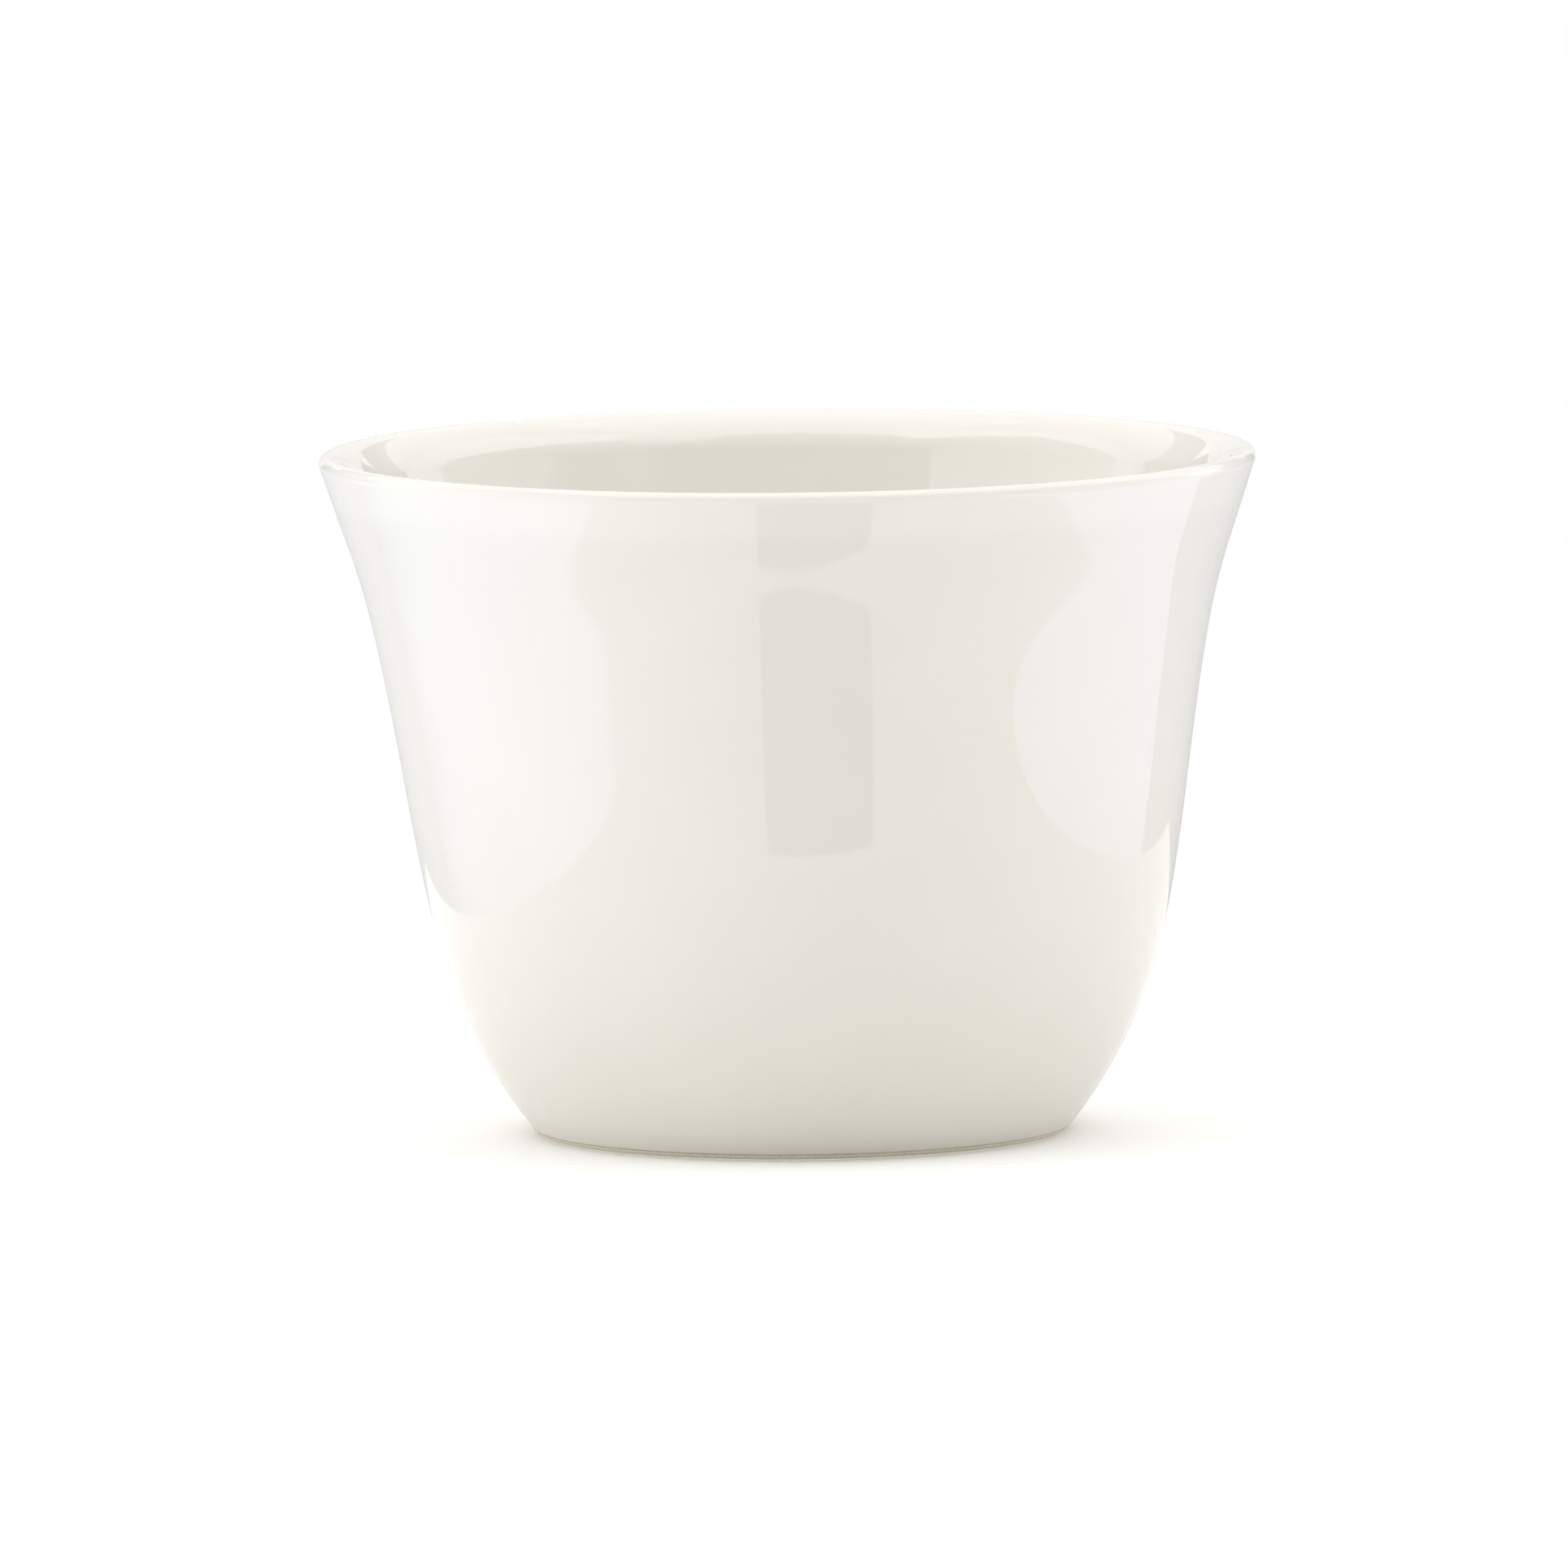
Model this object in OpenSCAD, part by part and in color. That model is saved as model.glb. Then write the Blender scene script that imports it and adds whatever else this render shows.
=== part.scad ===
// Small handleless coffee cup in glazed porcelain. Millimetres, Z up, standing on Z = 0, axis of the cup on Z.
// Sizes are over the glaze unless their comment says otherwise.

/* [Overall] */
// Diameter over the lip
mouth_d = 65; // [58:0.5:74]
// Height from the table to the top of the lip
cup_h = 47.6; // [43:0.2:56]

/* [Outside wall] */
// Diameter at the waist, where the belly ends and the flare begins
waist_d = 54.7; // [50:0.1:58]
// Height of the waist above the table
waist_h = 24.7; // [20:0.1:29]
// Lean of the wall just above the foot, in degrees from upright
foot_lean = 39; // [30:0.5:48]
// Lean of the wall at the waist, in degrees from upright
waist_lean = 8.6; // [4:0.2:13]
// Lean of the wall below the lip, in degrees from upright
lip_lean = 17.2; // [10:0.2:24]
// Pull of the curve upward from the foot, as a share of the line from foot to waist
foot_pull = 0.356; // [0.25:0.002:0.45]
// Pull of the curve downward from the waist, as a share of the line from foot to waist
belly_pull = 0.426; // [0.3:0.002:0.5]
// Pull of the curve upward from the waist, as a share of the line from waist to lip
flare_pull = 0.68; // [0.4:0.01:0.7]
// Pull of the curve downward from the lip, as a share of the line from waist to lip
lip_pull = 0.368; // [0.25:0.002:0.45]

/* [Thickness] */
// Thickness of the fully rounded lip
lip_t = 2.7; // [2:0.1:3.6]
// Thickness of the wall at the waist
wall_t = 2.9; // [2.2:0.1:4]
// Thickness of the floor in the middle
floor_t = 3.5; // [2.6:0.1:5]
// Pull that holds the inside floor flat, as a share of the inside radius at the waist
floor_pull = 0.84; // [0.6:0.02:0.9]
// Pull that holds the inside wall upright, as a share of the inside height from floor to waist
bowl_pull = 0.82; // [0.6:0.02:0.9]

/* [Foot] */
// Outer diameter of the flat standing face, on the bare porcelain
foot_d = 35.9; // [31:0.1:41]
// Width of the flat standing face
foot_w = 2.4; // [1.6:0.1:3.4]
// Radius of the outer foot edge
foot_edge_r = 0.95; // [0.5:0.05:1.4]
// Radius of the inner foot edge
foot_inner_edge_r = 0.5; // [0.3:0.05:0.8]
// Height of the straight recess wall, between the foot edge and the hollow corner
recess_wall_h = 0.4; // [0.2:0.1:1.2]
// Radius of the hollow corner between recess wall and recess ceiling
recess_corner_r = 0.7; // [0.4:0.05:1]

/* [Glaze] */
// Thickness of every coat of glaze
glaze_t = 0.25; // [0.15:0.05:0.5]

/* [Smoothness] */
// Steps along each curve of the wall
wall_steps = 24; // [12:1:40]
// Steps along each rounded edge
edge_steps = 10; // [6:1:20]
// Steps around the cup
round_steps = 96; // [48:8:160]

/* [Hidden] */

// Colours of the fired clay and of the three coats
clay_colour = [0.93, 0.91, 0.86];
outer_colour = [0.94, 0.93, 0.88];
lining_colour = [0.92, 0.91, 0.86];
recess_colour = [0.90, 0.89, 0.84];

// A step up a wall that leans outward by the given angle
function up(lean) = [sin(lean), cos(lean)];
// The outward direction square to that wall
function out(lean) = [cos(lean), -sin(lean)];

// A point on the smooth curve through two ends with two pulls
function curve_point(p, t) =
    pow(1 - t, 3) * p[0] + 3 * pow(1 - t, 2) * t * p[1] + 3 * (1 - t) * t * t * p[2] + pow(t, 3) * p[3];
// The direction of travel at that point
function curve_travel(p, t) =
    pow(1 - t, 2) * (p[1] - p[0]) + 2 * (1 - t) * t * (p[2] - p[1]) + t * t * (p[3] - p[2]);
// The air side of the curve, to the right of travel
function air_side(travel) = [travel[1], -travel[0]] / norm(travel);

// Points of a curve, sunk below its air side by a depth
function curve(p, depth) = [
    for (i = [0 : wall_steps])
        let (t = i / wall_steps)
            curve_point(p, t) - depth * air_side(curve_travel(p, t))
];
// Points of an arc, from one angle to another
function arc(centre, radius, from, to) = [
    for (i = [0 : edge_steps])
        let (a = from + (to - from) * i / edge_steps)
            centre + radius * [cos(a), sin(a)]
];
// A list of points without its first one, which the stretch before it already ends on
function rest(points) = [for (i = [1 : len(points) - 1]) points[i]];
// A list of points in the other order
function backward(points) = [for (i = [len(points) - 1 : -1 : 0]) points[i]];

// Foot
foot_r = foot_d / 2;
foot_edge_centre = [foot_r, foot_edge_r];
foot_top = foot_edge_centre + foot_edge_r * out(foot_lean);
foot_inner_centre = [foot_r - foot_w, foot_inner_edge_r];
recess_r = foot_r - foot_w - foot_inner_edge_r;
recess_depth = foot_inner_edge_r + recess_wall_h + recess_corner_r;
recess_corner_centre = [recess_r - recess_corner_r, recess_depth - recess_corner_r];

// Waist and lip
waist = [waist_d / 2, waist_h];
lip_r = lip_t / 2;
lip_centre = [mouth_d / 2 - lip_r, cup_h - lip_r];
lip_outer = lip_centre + lip_r * out(lip_lean);
lip_inner = lip_centre - lip_r * out(lip_lean);

// Inside
floor_h = recess_depth + floor_t;
inner_waist = waist - wall_t * out(waist_lean);
inner_waist_r = inner_waist[0];
bowl_h = inner_waist[1] - floor_h;

// The four curves of the wall, in the order of a walk from the foot over the lip to the middle of the floor
belly_l = norm(waist - foot_top);
flare_l = norm(lip_outer - waist);
inner_flare_l = norm(lip_inner - inner_waist);
belly_curve = [
    foot_top,
    foot_top + foot_pull * belly_l * up(foot_lean),
    waist - belly_pull * belly_l * up(waist_lean),
    waist
];
flare_curve = [
    waist,
    waist + flare_pull * flare_l * up(waist_lean),
    lip_outer - lip_pull * flare_l * up(lip_lean),
    lip_outer
];
inner_flare_curve = [
    lip_inner,
    lip_inner - lip_pull * inner_flare_l * up(lip_lean),
    inner_waist + flare_pull * inner_flare_l * up(waist_lean),
    inner_waist
];
bowl_curve = [
    inner_waist,
    inner_waist - bowl_pull * bowl_h * up(waist_lean),
    [floor_pull * inner_waist_r, floor_h],
    [0, floor_h]
];

// Outline of the outside from the glaze line over the lip, sunk by a depth below the glaze surface
function outside(depth) = concat(
    curve(belly_curve, depth),
    rest(curve(flare_curve, depth)),
    rest(arc(lip_centre, lip_r - depth, -lip_lean, 180 - lip_lean))
);
// Outline of the inside from the lip to the middle of the floor, sunk by a depth
function inside(depth) = concat(
    curve(inner_flare_curve, depth),
    rest(curve(bowl_curve, depth))
);
// Outline of the recess from the middle to the glaze line on the foot, sunk by a depth
function recess(depth) = concat(
    [[0, recess_depth + depth]],
    arc(recess_corner_centre, recess_corner_r + depth, 90, 0),
    [[recess_r + depth, foot_inner_edge_r]]
);
// Outline of the bare foot ring, from the inner glaze line to the outer one
function bare_foot() = concat(
    arc(foot_inner_centre, foot_inner_edge_r, 180, 270),
    arc(foot_edge_centre, foot_edge_r, -90, -foot_lean)
);

// A coat of glaze between the surface and the porcelain
module coat(surface, porcelain) {
    rotate_extrude($fn = round_steps)
        polygon(concat(surface, backward(porcelain)));
}

// The fired clay: wall, lip, floor and foot ring, bare only on the foot ring
module porcelain_body() {
    color(clay_colour)
        rotate_extrude($fn = round_steps)
            polygon(concat(bare_foot(), outside(glaze_t), rest(inside(glaze_t)), recess(glaze_t)));
}

// The coat on the outside wall and over the lip
module outer_glaze() {
    color(outer_colour)
        coat(outside(0), outside(glaze_t));
}

// The coat on the inside wall and floor
module lining_glaze() {
    color(lining_colour)
        coat(inside(0), inside(glaze_t));
}

// The coat in the recess under the floor
module foot_recess_glaze() {
    color(recess_colour)
        coat(recess(0), recess(glaze_t));
}

porcelain_body();
outer_glaze();
lining_glaze();
foot_recess_glaze();
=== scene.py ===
"""Dresses a small handleless coffee cup as glazed porcelain and stages it in a soft studio."""

import logging
import math
from dataclasses import dataclass, field
from enum import Enum
from typing import Any, ClassVar, Optional, Sequence

import bpy
import numpy as np
from mathutils import Matrix, Vector


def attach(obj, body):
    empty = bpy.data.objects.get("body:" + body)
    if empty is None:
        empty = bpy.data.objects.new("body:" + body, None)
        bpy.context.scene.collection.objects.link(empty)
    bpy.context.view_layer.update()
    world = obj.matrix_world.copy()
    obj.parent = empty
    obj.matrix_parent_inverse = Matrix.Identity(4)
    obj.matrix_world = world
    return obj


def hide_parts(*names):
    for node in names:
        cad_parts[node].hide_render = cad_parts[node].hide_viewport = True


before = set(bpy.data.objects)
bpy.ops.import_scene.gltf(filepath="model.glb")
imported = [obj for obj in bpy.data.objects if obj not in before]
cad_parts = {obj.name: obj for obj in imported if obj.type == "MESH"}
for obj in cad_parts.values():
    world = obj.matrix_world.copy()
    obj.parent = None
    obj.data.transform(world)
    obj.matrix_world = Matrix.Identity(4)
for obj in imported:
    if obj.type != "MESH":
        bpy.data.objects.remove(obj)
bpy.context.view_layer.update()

LOG = logging.getLogger("coffee_cup")
MM = 0.001
BODY = "root"
WHITE = "#FFFFFF"
SHEET_MAP = "sheet"
# Points of an outline that lie closer than this, in millimetres, are one
TOUCH = 1e-6
# Numbers of the colour sockets on a Mix node: first input, second input and output
MIX_A, MIX_B, MIX_OUT = 6, 7, 2

Metres = tuple[float, float, float]


class Slot(Enum):
    """The record's material slots."""

    BARE = "bare_porcelain"
    OUTSIDE = "outside_glaze"
    LINING = "lining_glaze"


def linear(hex_colour: str) -> tuple[float, float, float, float]:
    """Turns an sRGB hex colour into linear red, green, blue and alpha.

    Args:
        hex_colour: Six hex digits after a hash sign.

    Returns:
        The linear colour, where a channel c is c / 12.92 when dark and ((c + 0.055) / 1.055) ^ 2.4 otherwise.
    """
    channels = np.array([int(hex_colour[i:i + 2], 16) for i in (1, 3, 5)]) / 255.0
    bent = np.where(channels <= 0.04045, channels / 12.92, ((channels + 0.055) / 1.055) ** 2.4)
    return (*(float(c) for c in bent), 1.0)


def add_node(tree: bpy.types.NodeTree, kind: str, sockets: Optional[dict[Any, Any]] = None,
             **settings: Any) -> bpy.types.Node:
    """Adds a node, sets it up and links it.

    Args:
        tree: The node tree that gets the node.
        kind: Blender's name for the kind of node.
        sockets: Values or output sockets for the node's inputs, by input name or number.
        **settings: Properties of the node itself.

    Returns:
        The new node.
    """
    node = tree.nodes.new(kind)
    for name, value in settings.items():
        setattr(node, name, value)
    for key, value in (sockets or {}).items():
        if isinstance(value, bpy.types.NodeSocket):
            tree.links.new(value, node.inputs[key])
        else:
            node.inputs[key].default_value = value
    return node


def empty_material(name: str) -> tuple[bpy.types.Material, bpy.types.NodeTree]:
    """Makes a material whose node tree is still empty.

    Args:
        name: The material's name.

    Returns:
        The material and its node tree.
    """
    material = bpy.data.materials.new(name)
    material.use_nodes = True
    material.node_tree.nodes.clear()
    return material, material.node_tree


def scene_object(name: str, data: bpy.types.ID) -> bpy.types.Object:
    """Makes an object of a mesh or a camera and links it to the scene.

    Args:
        name: Name of the object.
        data: The mesh or the camera.

    Returns:
        The object, at the origin.
    """
    made = bpy.data.objects.new(name, data)
    bpy.context.scene.collection.objects.link(made)
    return made


def flat_mesh(name: str, corner: Metres, along: Metres, across: Metres) -> bpy.types.Mesh:
    """Makes a mesh of one flat face with the corners c, c + a, c + a + b and c + b.

    Args:
        name: Name of the mesh.
        corner: The corner c, in metres.
        along: The side a.
        across: The side b.

    Returns:
        The mesh.
    """
    c, a, b = (np.array(v) for v in (corner, along, across))
    mesh = bpy.data.meshes.new(name)
    mesh.from_pydata(np.stack([c, c + a, c + a + b, c + b]).tolist(), [], [(0, 1, 2, 3)])
    return mesh


@dataclass(frozen=True)
class Stretch:
    """A smooth stretch of outline in the half plane of radius and height, in millimetres.

    The air lies to the right of the walk along the points.

    Attributes:
        points: Radius and height of each point.
        normals: Unit direction to the air at each point.
    """

    points: np.ndarray
    normals: np.ndarray

    def back(self) -> "Stretch":
        """Gives the same stretch walked the other way, with its air on the other side."""
        return Stretch(self.points[::-1], -self.normals[::-1])

    def then(self, other: "Stretch") -> "Stretch":
        """Gives this stretch carried on smoothly by another one that starts where this one ends."""
        return Stretch(np.vstack([self.points, other.points[1:]]),
                       np.vstack([self.normals, other.normals[1:]]))


def up(lean: float) -> np.ndarray:
    """Gives the step up a wall that leans outward by an angle in degrees."""
    return np.array([math.sin(math.radians(lean)), math.cos(math.radians(lean))])


def out(lean: float) -> np.ndarray:
    """Gives the outward direction square to a wall that leans outward by an angle in degrees."""
    return np.array([math.cos(math.radians(lean)), -math.sin(math.radians(lean))])


def curve(ends: Sequence[np.ndarray], depth: float, steps: int, start: float = 0.0) -> Stretch:
    """Walks a cubic curve, sunk below its air side.

    The point at t is (1-t)^3 p0 + 3 (1-t)^2 t p1 + 3 (1-t) t^2 p2 + t^3 p3. The air side is the direction of
    travel turned right, and the point moves away from it by the depth.

    Args:
        ends: First end, its pull, the pull of the last end and the last end.
        depth: How far the walk lies below the curve.
        steps: Number of steps along the curve.
        start: Where on the curve the walk starts, from 0 to 1.

    Returns:
        The stretch along the sunk curve.
    """
    t = np.linspace(start, 1.0, steps + 1)[:, None]
    p0, p1, p2, p3 = (np.asarray(p, float) for p in ends)
    points = (1 - t) ** 3 * p0 + 3 * (1 - t) ** 2 * t * p1 + 3 * (1 - t) * t ** 2 * p2 + t ** 3 * p3
    travel = (1 - t) ** 2 * (p1 - p0) + 2 * (1 - t) * t * (p2 - p1) + t ** 2 * (p3 - p2)
    normals = np.column_stack([travel[:, 1], -travel[:, 0]])
    normals /= np.linalg.norm(normals, axis=1, keepdims=True)
    return Stretch(points - depth * normals, normals)


def arc(centre: np.ndarray, radius: float, first: float, last: float, steps: int, air: int = 1) -> Stretch:
    """Walks a circular arc: centre + radius (cos a, sin a) for a from the first angle to the last.

    Args:
        centre: Centre of the arc.
        radius: Radius of the arc.
        first: First angle in degrees.
        last: Last angle in degrees.
        steps: Number of steps.
        air: 1 where the air is outside the circle, -1 where it is inside.

    Returns:
        The stretch along the arc.
    """
    a = np.radians(np.linspace(first, last, steps + 1))
    round_way = np.column_stack([np.cos(a), np.sin(a)])
    return Stretch(np.asarray(centre) + radius * round_way, air * round_way)


def line(first: np.ndarray, last: np.ndarray, steps: int = 1) -> Stretch:
    """Walks a straight line from the first point to the last in equal steps.

    Args:
        first: First point.
        last: Last point.
        steps: Number of steps.

    Returns:
        The stretch along the line, with the travel turned right as its air side.
    """
    t = np.linspace(0.0, 1.0, steps + 1)[:, None]
    points = (1 - t) * np.asarray(first) + t * np.asarray(last)
    travel = np.asarray(last) - np.asarray(first)
    normal = np.array([travel[1], -travel[0]]) / np.linalg.norm(travel)
    return Stretch(points, np.repeat(normal[None, :], steps + 1, axis=0))


@dataclass(frozen=True)
class KilnLean:
    """The slight sideways set that the soft clay took in the kiln, in millimetres.

    Attributes:
        high: Height at which the lean ends.
        low: Height at which the lean begins.
        mouth_shift: How far the mouth sits along X from the middle of the foot.
    """

    high: float
    low: float = 8.0
    mouth_shift: float = -0.60

    def share(self, height: np.ndarray) -> np.ndarray:
        """Gives how far up the lean each height lies: t, from 0 at the low end to 1 at the high end."""
        return np.clip((height - self.low) / (self.high - self.low), 0.0, 1.0)

    def shift(self, height: np.ndarray) -> np.ndarray:
        """Gives the shift along X at each height: the mouth's shift times 3 t^2 - 2 t^3."""
        t = self.share(height)
        return self.mouth_shift * t * t * (3 - 2 * t)

    def slope(self, height: np.ndarray) -> np.ndarray:
        """Gives the shift's change with height: the mouth's shift times 6 t (1 - t) / (high - low)."""
        t = self.share(height)
        return self.mouth_shift * 6 * t * (1 - t) / (self.high - self.low)


def smooth_mesh(name: str, vertices: np.ndarray, corners: np.ndarray, normals: np.ndarray) -> bpy.types.Mesh:
    """Makes a smooth mesh of four-sided faces with a given normal at each corner.

    A face on a pole has one corner twice, and drops it.

    Args:
        name: Name of the mesh.
        vertices: Place of each vertex, in metres.
        corners: Numbers of the four vertices of each face.
        normals: Unit direction to the air at the four corners of each face.

    Returns:
        The mesh.
    """
    keep = corners != np.roll(corners, -1, axis=1)
    sizes = keep.sum(axis=1)
    mesh = bpy.data.meshes.new(name)
    mesh.vertices.add(len(vertices))
    mesh.vertices.foreach_set("co", vertices.ravel())
    mesh.loops.add(int(sizes.sum()))
    mesh.loops.foreach_set("vertex_index", corners[keep].astype(np.int32))
    mesh.polygons.add(len(sizes))
    mesh.polygons.foreach_set("loop_start", np.concatenate([[0], np.cumsum(sizes)[:-1]]).astype(np.int32))
    mesh.polygons.foreach_set("use_smooth", np.ones(len(sizes), dtype=bool))
    mesh.update(calc_edges=True)
    mesh.validate(clean_customdata=False)
    mesh.normals_split_custom_set(normals[keep])
    return mesh


def revolve(name: str, walk: Sequence[Stretch], turns: int, lean: KilnLean) -> bpy.types.Object:
    """Turns a closed walk of stretches about Z into a closed mesh with the walk's own normals.

    A point (r, z) at the turn angle a lies at (r cos a + s(z), r sin a, z), where s is the lean's shift. A
    normal (n, m) of the walk becomes (n cos a, n sin a, m - s'(z) n cos a). Where a walk begins and ends on
    the axis, its end points become single pole vertices. Corners between stretches stay crisp, because each
    face takes the normals of its own stretch.

    Args:
        name: Name of the new object.
        walk: Stretches, each starting where the one before ends, with the air on the right.
        turns: Number of steps round the axis.
        lean: The lean of the cup.

    Returns:
        The object, at the origin.
    """
    rings = np.vstack([walk[0].points, *(s.points[1:] for s in walk[1:])])
    if np.allclose(rings[0], rings[-1], atol=TOUCH):
        rings = rings[:-1]
    pole = rings[:, 0] < TOUCH
    counts = np.where(pole, 1, turns)
    first = np.concatenate([[0], np.cumsum(counts)[:-1]])
    columns = np.arange(turns)
    index = first[:, None] + np.where(pole[:, None], 0, columns[None, :])
    angle = 2 * math.pi * columns / turns
    circle = np.column_stack([np.cos(angle), np.sin(angle)])
    grid = np.concatenate([rings[:, None, :1] * circle[None, :, :],
                           np.repeat(rings[:, None, 1:], turns, axis=1)], axis=2)
    grid[:, :, 0] += lean.shift(rings[:, 1])[:, None]
    vertices = np.zeros((int(counts.sum()), 3))
    vertices[index.ravel()] = grid.reshape(-1, 3) * MM

    # Low and high ring of each band of faces, and the normals at both, stretch by stretch
    low_normals = np.vstack([s.normals[:-1] for s in walk])
    high_normals = np.vstack([s.normals[1:] for s in walk])
    low = np.arange(len(low_normals))
    high = (low + 1) % len(rings)
    after = (columns + 1) % turns
    corners = np.stack([index[low], index[low][:, after], index[high][:, after], index[high]], axis=2)
    flat = np.stack([low_normals, low_normals, high_normals, high_normals], axis=1)[:, None, :, :]
    slope = lean.slope(rings[np.stack([low, low, high, high], axis=1), 1])[:, None, :]
    way = np.stack([circle, circle[after], circle[after], circle], axis=1)[None, :, :, :]
    normals = np.concatenate([flat[..., :1] * way, np.repeat(flat[..., 1:], turns, axis=1)], axis=3)
    normals[..., 2] -= slope * normals[..., 0]
    normals /= np.linalg.norm(normals, axis=3, keepdims=True)
    return scene_object(name, smooth_mesh(name, vertices, corners.reshape(-1, 4), normals.reshape(-1, 4, 3)))


@dataclass(frozen=True)
class CupOutline:
    """The cup's outline over the glaze, in millimetres, and the walks along it.

    Attributes:
        mouth_d: Diameter over the lip.
        cup_h: Height from the table to the top of the lip.
        waist_d: Diameter at the waist.
        waist_h: Height of the waist.
        foot_lean: Lean of the wall above the foot, in degrees.
        waist_lean: Lean of the wall at the waist, in degrees.
        lip_lean: Lean of the wall below the lip, in degrees.
        foot_pull: Pull up from the foot, as a share of the line from foot to waist.
        belly_pull: Pull down from the waist, as a share of the same line.
        flare_pull: Pull up from the waist, as a share of the line from waist to lip.
        lip_pull: Pull down from the lip, as a share of the same line.
        lip_t: Thickness of the lip.
        lip_r: Radius of the lip's outer edge.
        lip_out: How far that edge stands out past the mouth.
        lip_ease: Where on the inner flare the lip's inner rounding ends, from 0 to 1.
        crest_pull: Pull inward from the crest of the lip, as a share of that rounding's width.
        ease_pull: Pull up from the end of that rounding, as a share of its height.
        wall_t: Thickness of the wall at the waist.
        floor_t: Thickness of the floor.
        floor_pull: Pull along the inside floor, as a share of the inside radius at the waist.
        bowl_pull: Pull down the inside wall, as a share of the inside height to the waist.
        foot_d: Outer diameter of the standing face.
        foot_w: Width of the standing face.
        foot_edge_r: Radius of the outer foot edge.
        foot_inner_edge_r: Radius of the inner foot edge.
        recess_wall_h: Height of the straight recess wall.
        recess_corner_r: Radius of the hollow corner of the recess.
        glaze_t: Thickness of each coat of glaze.
        wall_steps: Steps along each shown curve.
        edge_steps: Steps along each rounded edge.
        face_steps: Steps across the standing face.
        recess_wall_steps: Steps up the recess wall.
    """

    mouth_d: float = 65.0
    cup_h: float = 47.6
    waist_d: float = 54.7
    waist_h: float = 24.7
    foot_lean: float = 39.0
    waist_lean: float = 8.6
    lip_lean: float = 17.2
    foot_pull: float = 0.356
    belly_pull: float = 0.426
    flare_pull: float = 0.68
    lip_pull: float = 0.368
    lip_t: float = 2.7
    lip_r: float = 0.65
    lip_out: float = 0.12
    lip_ease: float = 0.07
    crest_pull: float = 0.38
    ease_pull: float = 0.42
    wall_t: float = 2.9
    floor_t: float = 3.5
    floor_pull: float = 0.84
    bowl_pull: float = 0.82
    foot_d: float = 35.9
    foot_w: float = 2.4
    foot_edge_r: float = 0.95
    foot_inner_edge_r: float = 0.5
    recess_wall_h: float = 0.4
    recess_corner_r: float = 0.7
    glaze_t: float = 0.25
    wall_steps: int = 64
    edge_steps: int = 24
    face_steps: int = 12
    recess_wall_steps: int = 4

    @property
    def foot_edge_centre(self) -> np.ndarray:
        """Centre of the rounded outer foot edge."""
        return np.array([self.foot_d / 2, self.foot_edge_r])

    @property
    def foot_top(self) -> np.ndarray:
        """Point where the bare foot ends and the outside glaze begins."""
        return self.foot_edge_centre + self.foot_edge_r * out(self.foot_lean)

    @property
    def recess_r(self) -> float:
        """Radius of the recess under the floor."""
        return self.foot_d / 2 - self.foot_w - self.foot_inner_edge_r

    @property
    def recess_depth(self) -> float:
        """Height of the recess ceiling above the table."""
        return self.foot_inner_edge_r + self.recess_wall_h + self.recess_corner_r

    @property
    def floor_h(self) -> float:
        """Height of the inside floor above the table."""
        return self.recess_depth + self.floor_t

    @property
    def waist(self) -> np.ndarray:
        """Point of the outside at the waist."""
        return np.array([self.waist_d / 2, self.waist_h])

    @property
    def inner_waist(self) -> np.ndarray:
        """Point of the inside at the waist."""
        return self.waist - self.wall_t * out(self.waist_lean)

    @property
    def lip_centre(self) -> np.ndarray:
        """Middle of the lip's thickness, below its top."""
        return np.array([self.mouth_d - self.lip_t, 2 * self.cup_h - self.lip_t]) / 2

    @property
    def belly_line(self) -> float:
        """Length of the straight line from the glaze line above the foot to the waist."""
        return float(np.linalg.norm(self.waist - self.foot_top))

    def outside(self, depth: float, steps: int, start: float = 0.0) -> Stretch:
        """Walks the outside from the glaze line over the lip to its inner edge.

        Args:
            depth: How far the walk lies below the glaze surface.
            steps: Steps along each curve of the wall.
            start: Where on the belly curve the walk starts, from 0 to 1.

        Returns:
            Belly, flare, tight outer edge of the lip and its eased inner side as one smooth stretch.
        """
        edge_centre = np.array([self.mouth_d / 2 + self.lip_out, self.cup_h]) - self.lip_r
        lip_outer = edge_centre + self.lip_r * out(self.lip_lean)
        crest = edge_centre + np.array([0.0, self.lip_r])
        flare_line = float(np.linalg.norm(lip_outer - self.waist))
        belly_ends = (self.foot_top, self.foot_top + self.foot_pull * self.belly_line * up(self.foot_lean),
                      self.waist - self.belly_pull * self.belly_line * up(self.waist_lean), self.waist)
        flare_ends = (self.waist, self.waist + self.flare_pull * flare_line * up(self.waist_lean),
                      lip_outer - self.lip_pull * flare_line * up(self.lip_lean), lip_outer)
        wall = self.inside(0.0, steps)
        fall = np.array([-wall.normals[0, 1], wall.normals[0, 0]])
        reach = crest - wall.points[0]
        ease_ends = (crest, crest - np.array([self.crest_pull * reach[0], 0.0]),
                     wall.points[0] - self.ease_pull * reach[1] * fall, wall.points[0])
        belly = curve(belly_ends, depth, steps, start)
        flare = curve(flare_ends, depth, steps)
        edge = arc(edge_centre, self.lip_r - depth, -self.lip_lean, 90.0, self.edge_steps)
        ease = curve(ease_ends, depth, self.edge_steps)
        return belly.then(flare).then(edge).then(ease)

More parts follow.
